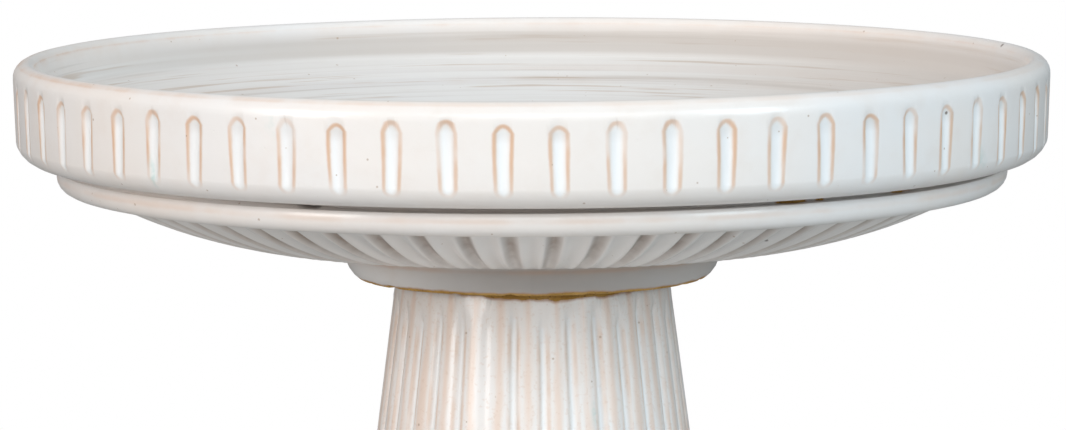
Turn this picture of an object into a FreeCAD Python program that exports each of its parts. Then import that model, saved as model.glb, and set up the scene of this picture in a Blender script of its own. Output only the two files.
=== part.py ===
"""Pedestal bird bath in glazed stoneware: a wide shallow bowl on a hollow fluted column.

Millimetres, +Z up.  The origin is on the ground at the middle of the column's foot.
The bowl's foot ring drops over the column's bare head, and a loose rubber ring lies
between the column's rim and the bowl.  Every driving size stands in the sheet Sizes.
"""
import FreeCAD, Part
import math
import os
import re

import Sketcher

# ------------------------------------------------------------------ driving sizes

SIZES = [
    # the column
    ("pedestal_height", 504.4),       # ground to the rim that carries the bowl
    ("head_radius", 66.5),            # outside of the bare head, just under its edge
    ("head_edge", 3),                 # rounding of the head's upper edge
    ("head_wall", 12.5),              # clay between the head's outside and the hollow
    ("shaft_base_radius", 127),       # outside of the shaft where the base moulding starts
    ("base_height", 40),              # ground to the top of the base moulding
    ("base_ledge", 4),                # step from the shaft out to the moulding
    ("base_spread", 10),              # shaft out to the moulding at the ground
    ("base_bulge", 42),               # radius of the moulding's round front
    ("base_wall", 16),                # clay between the moulding and the hollow at the ground
    ("shaft_flute_count", 32),
    ("shaft_flute_top", 27),          # rim down to the flutes' upper ends
    ("shaft_flute_base", 12),         # base moulding up to their lower ends
    ("shaft_flute_depth", 2),
    ("shaft_flute_top_round", 3.4),
    ("shaft_flute_base_round", 6.5),
    # the rubber ring between column and bowl
    ("cushion_bore_inset", 2),        # ring's inner edge, out from the column's hollow
    ("cushion_rim_inset", 1),         # ring's outer edge, in from the head's rounded edge
    ("cushion_thickness", 4),
    ("cushion_edge", 1),
    ("seat_gap", 0.3),                # left free under and over the rubber ring
    # the bowl, heights from its foot up and widths from its widest part in
    ("bowl_radius", 260),
    ("bowl_height", 111),
    ("recess_play", 8.5),             # free space round the column's head
    ("recess_depth", 20),
    ("foot_wall", 12.5),              # clay round the recess, at the bare edge of the foot
    ("foot_flare", 7.5),              # how much wider the foot ring is at its top
    ("foot_ring_height", 15.5),
    ("foot_bulge", 15),
    ("soffit_rise", 5),               # top of the foot ring to the inner ends of the gadroons
    ("gadroon_rise", 23.5),
    ("gadroon_reach", 68),            # how far the gadroons run in under the bowl
    ("gadroon_bulge", 230),
    ("gadroon_outer_depth", 2.5),     # grooves between gadroons, where they begin and end
    ("gadroon_inner_depth", 1.5),
    ("gadroon_outer_round", 5),
    ("gadroon_inner_round", 4),
    ("cove_width", 12),
    ("cove_rise", 1),
    ("roll_height", 12.1),
    ("roll_bulge", 8),
    ("roll_undercut", 6),             # how far the roll's lower edge stands in from its top
    ("roll_setback", 6),              # roll's top edge in from the band's lower edge
    ("groove_height", 3.2),
    ("groove_depth", 13),             # from the band's lower edge in
    ("band_corner_width", 15.8),
    ("band_corner_height", 9.7),
    ("band_corner_bulge", 14),
    ("band_taper", 1.2),              # how far the band leans in towards its lower corner
    ("lip_outer_round", 8),
    ("lip_inner_round", 4.5),
    ("basin_edge_inset", 18),
    ("basin_edge_depth", 17.3),
    ("basin_depth", 61),
    ("flute_count", 62),              # the grooves between gadroons lie under the flutes
    ("flute_top", 9),                 # rim down to the flutes' upper ends
    ("flute_round", 5.3),
    ("flute_depth", 1.8),
]

# Places that several outlines share, as expressions on the sizes above.
SOFFIT_EDGE = "foot_ring_height + soffit_rise"
UNDERSIDE_EDGE = SOFFIT_EDGE + " + gadroon_rise"
ROLL_BOTTOM = UNDERSIDE_EDGE + " + cove_rise"
ROLL_TOP = ROLL_BOTTOM + " + roll_height"
BAND_BOTTOM = ROLL_TOP + " + groove_height"
BAND_CORNER = BAND_BOTTOM + " + band_corner_height"

BAND_LOW_RADIUS = "bowl_radius - band_taper"
BAND_EDGE_RADIUS = BAND_LOW_RADIUS + " - band_corner_width"
ROLL_RADIUS = BAND_EDGE_RADIUS + " - roll_setback"
ROLL_LOW_RADIUS = ROLL_RADIUS + " - roll_undercut"
UNDERSIDE_RADIUS = ROLL_LOW_RADIUS + " - cove_width"
SOFFIT_RADIUS = UNDERSIDE_RADIUS + " - gadroon_reach"
BASIN_RADIUS = "bowl_radius - basin_edge_inset"

RIM_BORE_RADIUS = "head_radius - head_wall"
BASE_RADIUS = "shaft_base_radius + base_spread"
RECESS_RADIUS = "head_radius + recess_play"
FOOT_RADIUS = RECESS_RADIUS + " + foot_wall"

CUSHION_LEVEL = "pedestal_height + seat_gap"
BOWL_LEVEL = CUSHION_LEVEL + " + cushion_thickness + seat_gap - recess_depth"

doc = FreeCAD.newDocument("BirdBath")
sheet = doc.addObject("Spreadsheet::Sheet", "Sizes")
for row, (alias, value) in enumerate(SIZES, start=1):
    sheet.set("A%d" % row, alias)
    sheet.set("B%d" % row, str(value))
    sheet.setAlias("B%d" % row, alias)
doc.recompute()

ALIASES = {alias for alias, _ in SIZES}


# ------------------------------------------------------------------ helpers

def bound(text):
    """The expression with each size's name pointed at the sheet."""
    return re.sub(r"[a-z_]+", lambda word: "Sizes." + word.group()
                  if word.group() in ALIASES else word.group(), text)


def number(owner, text):
    """The expression's present value, to start a sketch close to its solution."""
    value = owner.evalExpression(bound(text))
    return float(getattr(value, "Value", value))


def new_body(label, level="0"):
    """An empty body, named for its piece, standing at that height."""
    body = doc.addObject("PartDesign::Body", label)
    body.Label = label
    body.setExpression("Placement.Base.z", bound(level))
    return body


def origin_part(body, role):
    """The body's own origin plane or axis with that role."""
    return next(item for item in body.Origin.OriginFeatures if item.Role == role)


def pin_point(sketch, geometry, end, place):
    """Hold one end of a line or arc at a place given by two expressions."""
    for kind, axis_line, text in (("DistanceX", -2, place[0]), ("DistanceY", -1, place[1])):
        value = number(sketch, text)
        if abs(value) < 1e-9:
            sketch.addConstraint(
                Sketcher.Constraint("PointOnObject", geometry, end, axis_line))
        else:
            index = sketch.addConstraint(
                Sketcher.Constraint(kind, -1, 1, geometry, end, value))
            sketch.setExpression("Constraints[%d]" % index, bound(text))


def arc_between(start, finish, radius, side):
    """A short arc from start to finish that bulges to the left (1) or right (-1)."""
    chord = finish - start
    left = FreeCAD.Vector(-chord.y, chord.x, 0).normalize()
    rise = radius - math.sqrt(radius ** 2 - (chord.Length / 2) ** 2)
    return Part.Arc(start, (start + finish) / 2 + left * side * rise, finish)


def draw_outline(body, name, points, bulges, axis=None):
    """A closed outline in the body's upright plane, points as (radius, height).

    bulges gives the sides that are arcs: the index of the side's first point, its radius
    and the hand it bulges to.  axis is a pair of points for a line to turn it about.
    """
    sketch = body.newObject("Sketcher::SketchObject", name)
    sketch.AttachmentSupport = [(origin_part(body, "XZ_Plane"), "")]
    sketch.MapMode = "FlatFace"

    places = [FreeCAD.Vector(number(body, x), number(body, y), 0) for x, y in points]
    count = len(points)
    ends = []
    for side in range(count):
        start, finish = places[side], places[(side + 1) % count]
        if side in bulges:
            radius, hand = bulges[side]
            curve = arc_between(start, finish, number(body, radius), hand)
            index = sketch.addGeometry(curve, False)
            size = sketch.addConstraint(
                Sketcher.Constraint("Radius", index, number(body, radius)))
            sketch.setExpression("Constraints[%d]" % size, bound(radius))
        else:
            index = sketch.addGeometry(Part.LineSegment(start, finish), False)
        begins_here = sketch.getPoint(index, 1).distanceToPoint(start) < 1e-6
        ends.append((1, 2) if begins_here else (2, 1))
    for side in range(count):
        after = (side + 1) % count
        sketch.addConstraint(
            Sketcher.Constraint("Coincident", side, ends[side][1], after, ends[after][0]))
        pin_point(sketch, side, ends[side][0], points[side])
    if axis:
        first, last = (FreeCAD.Vector(number(body, x), number(body, y), 0) for x, y in axis)
        line = sketch.addGeometry(Part.LineSegment(first, last), True)
        pin_point(sketch, line, 1, axis[0])
        pin_point(sketch, line, 2, axis[1])
    return sketch


def turn(body, name, sketch):
    """Turn an outline about the body's upright axis into a solid."""
    solid = body.newObject("PartDesign::Revolution", name)
    solid.Profile = sketch
    solid.ReferenceAxis = (sketch, ["V_Axis"])
    solid.Angle = 360
    sketch.Visibility = False
    return solid


def scoop_all_round(body, name, corners, rounds, count):
    """Cut one long round-bottomed groove, and repeat it all round the body.

    The cutter is a spindle.  corners go round half of it: one end of the groove's floor,
    the tip beside it, the other tip, the floor's other end.  It turns about the line
    through both tips, and rounds gives the radius of the arc from floor to tip at each end.
    """
    sketch = draw_outline(body, name + "Outline", corners,
                          {0: (rounds[0], 1), 2: (rounds[1], 1)}, axis=(corners[1], corners[2]))
    groove = body.newObject("PartDesign::Groove", name)
    groove.Profile = sketch
    groove.ReferenceAxis = (sketch, ["Axis0"])
    groove.Angle = 360
    sketch.Visibility = False
    doc.recompute()
    ring = body.newObject("PartDesign::PolarPattern", name + "Ring")
    ring.Originals = [groove]
    ring.Axis = (origin_part(body, "Z_Axis"), [""])
    ring.Angle = 360
    ring.setExpression("Occurrences", bound(count))
    body.Tip = ring
    doc.recompute()
    return ring


# ------------------------------------------------------------------ the column

def shaft_radius(height):
    """Outside of the tapering shaft at a height, as an expression."""
    return ("head_radius + (shaft_base_radius - head_radius)"
            " * (pedestal_height - head_edge - (%s))"
            " / (pedestal_height - head_edge - base_height)" % height)


def make_pedestal():
    """A hollow tapering column with a plain head, a fluted shaft and a round base."""
    body = new_body("pedestal")
    outline = draw_outline(body, "ColumnOutline", [
        (RIM_BORE_RADIUS, "pedestal_height"),
        ("head_radius - head_edge", "pedestal_height"),
        ("head_radius", "pedestal_height - head_edge"),
        ("shaft_base_radius", "base_height"),
        ("shaft_base_radius + base_ledge", "base_height"),
        (BASE_RADIUS, "0"),
        (BASE_RADIUS + " - base_wall", "0"),
    ], {1: ("head_edge", 1), 4: ("base_bulge", 1)})
    turn(body, "Column", outline)

    high = "pedestal_height - shaft_flute_top - shaft_flute_top_round"
    low = "base_height + shaft_flute_base + shaft_flute_base_round"
    high_floor = shaft_radius(high) + " - shaft_flute_depth"
    low_floor = shaft_radius(low) + " - shaft_flute_depth"
    scoop_all_round(body, "ShaftFlute", [
        (high_floor, high),
        (high_floor + " + shaft_flute_top_round", high + " + shaft_flute_top_round"),
        (low_floor + " + shaft_flute_base_round", low + " - shaft_flute_base_round"),
        (low_floor, low),
    ], ("shaft_flute_top_round", "shaft_flute_base_round"), "shaft_flute_count")
    return body


# ------------------------------------------------------------------ the rubber ring

def make_cushion_ring():
    """A loose flat rubber ring on the column's rim, with its edges rounded."""
    body = new_body("cushion_ring", CUSHION_LEVEL)
    inner_radius = RIM_BORE_RADIUS + " + cushion_bore_inset"
    outer_radius = "head_radius - head_edge - cushion_rim_inset"
    outline = draw_outline(body, "RingOutline", [
        (inner_radius, "0"),
        (outer_radius, "0"),
        (outer_radius, "cushion_thickness"),
        (inner_radius, "cushion_thickness"),
    ], {})
    ring = turn(body, "Ring", outline)
    doc.recompute()
    edges = ["Edge%d" % place for place, edge in enumerate(ring.Shape.Edges, start=1)
             if edge.Closed]
    rounding = body.newObject("PartDesign::Fillet", "RingEdges")
    rounding.Base = (ring, edges)
    rounding.setExpression("Radius", bound("cushion_edge"))
    body.Tip = rounding
    return body


# ------------------------------------------------------------------ the bowl

def make_bowl():
    """A shallow basin with a fluted band, a roll, a gadrooned underside and a foot ring."""
    body = new_body("bowl", BOWL_LEVEL)
    basin_drop = "(basin_depth - basin_edge_depth)"
    basin_arc = "((%s)^2 + %s^2) / (2 * %s)" % (BASIN_RADIUS, basin_drop, basin_drop)
    outline = draw_outline(body, "BowlOutline", [
        ("0", "bowl_height - basin_depth"),
        (BASIN_RADIUS, "bowl_height - basin_edge_depth"),
        ("bowl_radius - lip_outer_round - lip_inner_round", "bowl_height - lip_inner_round"),
        ("bowl_radius - lip_outer_round", "bowl_height"),
        ("bowl_radius", "bowl_height - lip_outer_round"),
        (BAND_LOW_RADIUS, BAND_CORNER),
        (BAND_EDGE_RADIUS, BAND_BOTTOM),
        (BAND_EDGE_RADIUS + " - groove_depth", BAND_BOTTOM),
        (BAND_EDGE_RADIUS + " - groove_depth", ROLL_TOP),
        (ROLL_RADIUS, ROLL_TOP),
        (ROLL_LOW_RADIUS, ROLL_BOTTOM),
        (UNDERSIDE_RADIUS, UNDERSIDE_EDGE),
        (SOFFIT_RADIUS, SOFFIT_EDGE),
        (FOOT_RADIUS + " + foot_flare", "foot_ring_height"),
        (FOOT_RADIUS, "0"),
        (RECESS_RADIUS, "0"),
        (RECESS_RADIUS, "recess_depth"),
        ("0", "recess_depth"),
    ], {
        0: (basin_arc, -1),
        2: ("lip_inner_round", 1),
        3: ("lip_outer_round", 1),
        5: ("band_corner_bulge", 1),
        9: ("roll_bulge", 1),
        11: ("gadroon_bulge", 1),
        13: ("foot_bulge", 1),
    })
    turn(body, "BowlTurned", outline)

    high = "bowl_height - flute_top - flute_round"
    low = BAND_BOTTOM + " + flute_round"
    high_floor = "bowl_radius - flute_depth"
    low_floor = BAND_LOW_RADIUS + " - flute_depth"
    scoop_all_round(body, "BandFlute", [
        (high_floor, high),
        (high_floor + " + flute_round", high + " + flute_round"),
        (low_floor + " + flute_round", low + " - flute_round"),
        (low_floor, low),
    ], ("flute_round", "flute_round"), "flute_count")

    outer_floor = UNDERSIDE_EDGE + " + gadroon_outer_depth"
    inner_floor = SOFFIT_EDGE + " + gadroon_inner_depth"
    scoop_all_round(body, "Gadroon", [
        (UNDERSIDE_RADIUS, outer_floor),
        (UNDERSIDE_RADIUS + " + gadroon_outer_round", outer_floor + " - gadroon_outer_round"),
        (SOFFIT_RADIUS + " - gadroon_inner_round", inner_floor + " - gadroon_inner_round"),
        (SOFFIT_RADIUS, inner_floor),
    ], ("gadroon_outer_round", "gadroon_inner_round"), "flute_count")
    return body


# ------------------------------------------------------------------ build and write

bodies = [make_pedestal(), make_cushion_ring(), make_bowl()]
doc.recompute()

for item in doc.Objects:
    if "Invalid" in item.State or "Error" in item.State:
        raise RuntimeError("%s did not recompute: %s" % (item.Name, item.State))
for body in bodies:
    if body.Shape.isNull() or not body.Shape.isValid() or len(body.Shape.Solids) != 1:
        raise RuntimeError("%s is not one valid solid" % body.Label)

os.makedirs("parts", exist_ok=True)
for body in bodies:
    box = body.Shape.optimalBoundingBox()
    print("%-14s volume %10.0f mm3, z %.1f to %.1f, radius %.1f" % (
        body.Label, body.Shape.Volume, box.ZMin, box.ZMax, box.XMax))
    body.Shape.exportStep("parts/%s.step" % body.Label)
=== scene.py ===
"""Looks of a glazed stoneware bird bath: fluted bowl, fluted column and the ring between them.

Shapes are worked out in millimetres and written to the meshes in metres.  A piece turned on
the wheel is an outline of radius and height, carried once round the upright axis.  Bearings
are in degrees from the front, growing towards the right.
"""
import math

import bpy
import numpy as np
from mathutils import Matrix, Vector


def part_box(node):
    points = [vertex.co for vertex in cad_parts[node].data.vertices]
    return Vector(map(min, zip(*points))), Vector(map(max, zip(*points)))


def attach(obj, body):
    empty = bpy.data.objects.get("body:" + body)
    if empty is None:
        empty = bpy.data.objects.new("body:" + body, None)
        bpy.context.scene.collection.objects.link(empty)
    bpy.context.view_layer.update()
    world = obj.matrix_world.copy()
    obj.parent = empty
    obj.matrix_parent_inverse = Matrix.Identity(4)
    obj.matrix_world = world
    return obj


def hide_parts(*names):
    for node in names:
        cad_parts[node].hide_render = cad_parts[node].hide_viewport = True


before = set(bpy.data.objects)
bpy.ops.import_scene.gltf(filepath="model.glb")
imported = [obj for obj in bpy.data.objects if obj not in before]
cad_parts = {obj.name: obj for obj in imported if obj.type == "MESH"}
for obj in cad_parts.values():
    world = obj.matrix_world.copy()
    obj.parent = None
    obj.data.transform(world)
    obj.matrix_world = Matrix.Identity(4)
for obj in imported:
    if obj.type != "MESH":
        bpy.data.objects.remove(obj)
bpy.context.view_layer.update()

MM = 0.001
TURN = 2 * math.pi

bowl_low, bowl_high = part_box("bowl")
column_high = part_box("pedestal")[1]
ring_low, ring_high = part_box("cushion_ring")

RIM = bowl_high.z / MM                              # top of the bowl's lip
FOOT = bowl_low.z / MM                              # bare edge under the bowl
BOWL_RADIUS = (bowl_high.x - bowl_low.x) / 2 / MM
COLUMN_TOP = column_high.z / MM
RING_REACH = (ring_high.x - ring_low.x) / 2 / MM


# ------------------------------------------------------------------ outlines

TRACE_STEP = 0.1                 # between the points that an outline is traced with
ROW_STRIDE = 6.0                 # length of plain outline to each row of the mesh
ROW_TURN = math.radians(11)      # turn of the outline to each row


def trace(points, bulges, closed):
    """Points every TRACE_STEP along straight sides and arcs, and each corner's place in them.

    bulges gives a side's radius and hand, 1 for an arc that swells to the left of its
    travel.  The arc's centre is sqrt(radius^2 - (chord / 2)^2) from the chord's middle, on
    the other side, and its points turn about that centre at an even rate.
    """
    corners = np.array(points, float)
    if closed:
        corners = np.vstack([corners, corners[:1]])
    pieces, starts, total = [], [], 0
    for side, (start, finish) in enumerate(zip(corners[:-1], corners[1:])):
        chord = finish - start
        length = math.hypot(*chord)
        count = max(3, int(length / TRACE_STEP))
        share = np.linspace(0, 1, count, endpoint=False)[:, None]
        line = start + chord * share
        if side in bulges:
            radius, hand = bulges[side]
            left = np.array([-chord[1], chord[0]]) / length * hand
            centre = (start + finish) / 2 - left * math.sqrt(radius ** 2 - length ** 2 / 4)
            half = math.asin(length / 2 / radius)
            turned = (2 * share - 1) * half
            line = centre + radius * (left * np.cos(turned) + chord / length * np.sin(turned))
        starts.append(total)
        total += len(line)
        pieces.append(line)
    if not closed:
        pieces.append(corners[-1:])
        total += 1
    return np.vstack(pieces), starts + [total - 1]


def melt(values, spread, closed):
    """Each point becomes the mean of its neighbours, weighted by a bell of that spread."""
    reach = int(3 * spread)
    weights = np.exp(-0.5 * (np.arange(-reach, reach + 1) / spread) ** 2)
    weights /= weights.sum()
    if closed:
        wide = np.concatenate([values[-reach:], values, values[:reach]])
    else:
        before = 2 * values[:1] - values[reach:0:-1]
        after = 2 * values[-1:] - values[-2:-reach - 2:-1]
        wide = np.concatenate([before, values, after])
    return np.stack([np.convolve(part, weights, "valid") for part in wide.T], axis=1)


def choose_rows(line, count, weight, closed):
    """Rows at even steps of length / ROW_STRIDE * weight plus turning / ROW_TURN.

    So they crowd where the outline turns sharply and where weight is high.
    """
    ahead = np.diff(line, axis=0)
    length = np.hypot(ahead[:, 0], ahead[:, 1])
    heading = np.unwrap(np.arctan2(ahead[:, 1], ahead[:, 0]))
    turning = np.abs(np.append(np.diff(heading), 0))
    reached = np.concatenate([[0], np.cumsum(length / ROW_STRIDE * weight[:-1]
                                             + turning / ROW_TURN)])
    marks = np.linspace(0, reached[-1], count, endpoint=not closed)
    return np.interp(marks, reached, np.arange(len(line)))


class Outline:
    """An outline's rows: radius, height, outward normal, and corner number at each row."""

    def __init__(self, points, bulges, count, melted, closed=False, crowd=None):
        raw, corners = trace(points, bulges, closed)
        line = melt(raw, melted / TRACE_STEP, closed)
        place = np.arange(len(line), dtype=float)
        corner = np.interp(place, corners, np.arange(len(corners), dtype=float))
        weight = crowd(corner) if crowd else np.ones(len(line))
        rows = choose_rows(line, count, weight, closed)
        ahead = np.gradient(line, axis=0)
        normal = np.stack([-ahead[:, 1], ahead[:, 0]], axis=1)
        normal /= np.hypot(normal[:, 0], normal[:, 1])[:, None]
        along = np.concatenate([[0], np.cumsum(np.hypot(*np.diff(line, axis=0).T))])

        def at_rows(values):
            return np.interp(rows, place, values)[:, None]

        self.radius, self.height = at_rows(line[:, 0]), at_rows(line[:, 1])
        self.out, self.up = at_rows(normal[:, 0]), at_rows(normal[:, 1])
        self.corner, self.along = at_rows(corner), at_rows(along)
        self.corner_along = np.interp(corners, place, along)

    def near(self, corners):
        """Distance along the outline to the nearest of the numbered corners."""
        marks = np.interp(corners, np.arange(len(self.corner_along)), self.corner_along)
        return np.abs(self.along - marks).min(axis=1, keepdims=True)


def ease(value, start, finish):
    """Rises smoothly from 0 at start to 1 at finish: 3 t^2 - 2 t^3 of the share between."""
    share = np.clip((value - start) / (finish - start), 0, 1)
    return share * share * (3 - 2 * share)


def stretch(value, rise, fall):
    """1 along a stretch: eases up over the pair in rise and down over the pair in fall."""
    return ease(value, *rise) * (1 - ease(value, *fall))


def bell(distance, spread):
    """exp(-(distance / spread)^2): 1 in the middle, fading over the spread."""
    return np.exp(-(distance / spread) ** 2)


def soft_above(value, blend):
    """The value where it is above zero, and zero below, rounded over blend."""
    return 0.5 * (value + np.sqrt(value * value + blend * blend))


def degrees_from(bearing, middle):
    """Turn from the middle to a bearing, between -180 and 180."""
    return (bearing - middle + 180) % 360 - 180


def wander(seed, waves, angle):
    """A wavy line round the piece: sines of whole wave numbers, each of seeded phase."""
    rng = np.random.default_rng(seed)
    phases = rng.uniform(0, TURN, len(waves))
    return sum(np.sin(angle * wave + phase) for wave, phase in zip(waves, phases)) / len(waves)


# ------------------------------------------------------------------ meshes

def lay_mesh(name, points, faces, fans, traits):
    """A smooth mesh of those points in millimetres, four-cornered faces and pole triangles."""
    mesh = bpy.data.meshes.new(name)
    mesh.vertices.add(len(points))
    mesh.vertices.foreach_set("co", (points * MM).astype(np.float32).ravel())
    sizes = np.concatenate([np.full(len(faces), 4), np.full(len(fans), 3)])
    mesh.loops.add(int(sizes.sum()))
    mesh.loops.foreach_set("vertex_index", np.concatenate([faces.ravel(), fans.ravel()]))
    mesh.polygons.add(len(sizes))
    mesh.polygons.foreach_set("loop_start", np.concatenate([[0], np.cumsum(sizes)[:-1]]))
    mesh.update(calc_edges=True)
    mesh.polygons.foreach_set("use_smooth", np.ones(len(sizes), bool))
    for trait, values in traits.items():
        layer = mesh.attributes.new(trait, "FLOAT", "POINT")
        layer.data.foreach_set("value", values.astype(np.float32).ravel())
    piece = bpy.data.objects.new(name, mesh)
    bpy.context.scene.collection.objects.link(piece)
    return piece


def turned_mesh(name, radius, height, angle, closed, traits):
    """Point (i, j) is (radius cos angle, radius sin angle, height), row i along the outline.

    A closed outline joins its last row to its first.  An open one starts and ends on the
    axis, where its first and last rows are single points with a fan of triangles.
    """
    angle = np.broadcast_to(angle, radius.shape)
    grid = np.stack([radius * np.cos(angle), radius * np.sin(angle), height], axis=-1)
    rows, columns = radius.shape
    traits = {key: np.broadcast_to(value, radius.shape) for key, value in traits.items()}
    if not closed:
        grid = grid[1:-1]
        rows -= 2
    index = np.arange(rows * columns).reshape(rows, columns)
    beside = np.roll(index, -1, axis=1)
    if closed:
        below, below_beside = np.roll(index, -1, axis=0), np.roll(beside, -1, axis=0)
        upper, upper_beside = index, beside
    else:
        upper, upper_beside = index[:-1], beside[:-1]
        below, below_beside = index[1:], beside[1:]
    faces = np.stack([upper, below, below_beside, upper_beside], axis=-1).reshape(-1, 4)
    points = grid.reshape(-1, 3)
    if closed:
        return lay_mesh(name, points, faces, np.empty((0, 3), int), {
            key: value.reshape(-1) for key, value in traits.items()})
    first, last = len(points), len(points) + 1
    poles = np.array([[0, 0, height[0, 0]], [0, 0, height[-1, 0]]])
    fans = np.concatenate([
        np.stack([np.full(columns, first), index[0], beside[0]], axis=-1),
        np.stack([np.full(columns, last), beside[-1], index[-1]], axis=-1)])
    return lay_mesh(name, np.vstack([points, poles]), faces, fans, {
        key: np.concatenate([value[1:-1].reshape(-1), value[[0, -1], 0]])
        for key, value in traits.items()})


def pitch_columns(count, half_pitch):
    """Each mesh column's groove number, and its place from that groove's middle, in pitches.

    half_pitch holds shares of the pitch from 0 to 0.5, and each pitch takes it and its
    mirror image.
    """
    half = np.array(half_pitch)
    offsets = np.concatenate([-half[-2:0:-1], half])
    groove = np.repeat(np.arange(count), len(offsets))
    return groove, np.tile(offsets, count)


# ------------------------------------------------------------------ the bowl

FLUTES = 62
FLUTE_CUTTER = 5.3            # radius of the round tool that the flutes look cut with
FLUTE_DEPTH = 2.0
FLUTE_TOP = 9.5               # rim down to the flutes' upper ends
FLUTE_BOTTOM = 46.5           # rim down to their lower ends
FLUTE_HALF_WIDTH = math.sqrt(2 * FLUTE_CUTTER * FLUTE_DEPTH - FLUTE_DEPTH ** 2)
FLUTE_STRETCH = (1.04, 0.86)  # a flute's width at its two ends, as shares of the tool's
FLUTE_SIDE = 0.152            # a flute's side, as a share of the pitch
FLUTE_COLUMNS = (0, 0.035, 0.07, 0.1, 0.127, FLUTE_SIDE, 0.18, 0.26, 0.5)

BASIN_DEPTH = 61              # these heights are below the rim
WALL_FOOT_DEPTH = 20          # where the basin's wall sweeps out of its floor
BAND_WALL_END = 41
BAND_BOTTOM = 50.7
ROLL_TOP = 53.7
ROLL_BOTTOM = 65.6
GADROON_START = 67
GADROON_END = 90.5
RECESS_TOP = 91
FOOT_RING_TOP = 95.5
FOOT_EDGE = RIM - FOOT

WALL_FOOT_RADIUS = BOWL_RADIUS - 21
GROOVE_RADIUS = BOWL_RADIUS - 30
GADROON_OUTER = 218
GADROON_INNER = 150
FOOT_RADIUS = 87.5
RECESS_RADIUS = 75

GADROON_DEPTH = 5.4
GADROON_SHARE = 0.20          # half a gadroon's groove, as a share of the pitch
GLAZE_FILL = 7.5              # how far glaze fills the groove under the band on one side
GLAZE_FILL_BEARING = -68

# the corners of the bowl's outline, numbered in its order of travel
(BASIN_MIDDLE, WALL_FOOT, LIP_INSIDE, LIP_CREST, BAND_HEAD, BAND_LOW, GROOVE_MOUTH, GROOVE_ROOF,
 GROOVE_FLOOR, ROLL_CREST, ROLL_FOOT, ROLL_HEEL, GADROON_RIM, GADROON_TIP, FOOT_NECK, FOOT_BEAD,
 RAW_EDGE, RECESS_EDGE, RECESS_ROOF, RECESS_MIDDLE) = range(20)

# Edges where the glaze thins, as places among the corners, and how strongly it does so at
# each place.
BOWL_ARRISES = (1.95, 3.35, 5.95, 9.25, 14.9)
ARRIS_STRENGTH = (
    (0.6, 0), (1.6, 0), (1.9, 1.3), (2.8, 0.3), (3.35, 0.6), (4, 0.1), (5, 0.1), (5.95, 0.2),
    (6.4, 0), (8.8, 0.2), (9.15, 0.25), (10, 0.05), (13.9, 0), (14.9, 0.4), (15.6, 0.1))

# Copper green has run into the glaze here: bearing, depth below the rim, length.
BOWL_RUNS = ((-43.9, 41, 4.5), (-27.9, 12, 3.0), (56.4, 41.5, 2.5))
COLUMN_RUNS = ((23.5, 76, 3.5),)
RUN_WIDTH = 1.5
# The groove under the band has bare clay at these bearings, each with its half width.
BARE_PATCHES = ((31.9, 1.9), (36.1, 0.5), (49.3, 1.0), (51.4, 0.4), (-118.0, 2.2), (151.0, 1.5))
FAR = 9.0                     # a distance beyond which no edge has any effect


def copper_runs(runs, bearing, down, radius):
    """A soft blot for each run: a bell of the distance aside times one of the depth."""
    blot = 0 * bearing * down
    for middle, depth, length in runs:
        aside = np.radians(degrees_from(bearing, middle)) * radius
        blot = blot + bell(aside, RUN_WIDTH) * bell(down - depth, length)
    return blot


def bowl_outline():
    """From the middle of the basin out over the lip, down the band and in under the foot."""
    edge = BOWL_RADIUS
    points = [
        (0, -BASIN_DEPTH), (WALL_FOOT_RADIUS, -WALL_FOOT_DEPTH), (edge - 11.5, -3.6),
        (edge - 8, 0), (edge, -8), (edge - 1.2, -BAND_WALL_END), (edge - 17, -BAND_BOTTOM),
        (GROOVE_RADIUS, -BAND_BOTTOM), (GROOVE_RADIUS, -ROLL_TOP), (edge - 22.2, -ROLL_TOP),
        (edge - 28.6, -ROLL_BOTTOM), (edge - 36, -ROLL_BOTTOM - 0.2),
        (GADROON_OUTER, -GADROON_START), (GADROON_INNER, -GADROON_END),
        (FOOT_RADIUS + 7.5, -FOOT_RING_TOP), (FOOT_RADIUS + 7, -FOOT_RING_TOP - 3),
        (FOOT_RADIUS, -FOOT_EDGE), (RECESS_RADIUS, -FOOT_EDGE),
        (RECESS_RADIUS, -RECESS_TOP), (0, -RECESS_TOP),
    ]
    drop = BASIN_DEPTH - WALL_FOOT_DEPTH
    dish = (WALL_FOOT_RADIUS ** 2 + drop ** 2) / (2 * drop)
    bulges = {BASIN_MIDDLE: (dish, -1), WALL_FOOT: (40, -1), LIP_INSIDE: (4.5, 1),
              LIP_CREST: (8, 1), BAND_LOW: (14, 1), ROLL_CREST: (8, 1),
              GADROON_RIM: (230, 1), FOOT_BEAD: (15, 1)}

    def crowd(corner):
        """More rows down the band and the gadroons, fewer over the plain basin."""
        round_shoulder = (corner > LIP_CREST + 0.6) & (corner < BAND_HEAD + 0.45)
        gadroons = (corner > ROLL_HEEL) & (corner < GADROON_TIP + 0.2)
        return 0.5 + 1.4 * round_shoulder + 0.25 * (corner > BAND_HEAD) + 0.55 * gadroons

    return Outline(points, bulges, 101, 0.45, crowd=crowd)


def flute_differences():
    """Each flute's own lean, depth, start and phase, as hand-finished flutes differ a little."""
    rng = np.random.default_rng(62)
    return (rng.normal(0, 0.35, FLUTES), rng.normal(0, 0.12, FLUTES),
            rng.normal(0, 0.8, FLUTES), rng.uniform(0, TURN, FLUTES))


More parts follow.
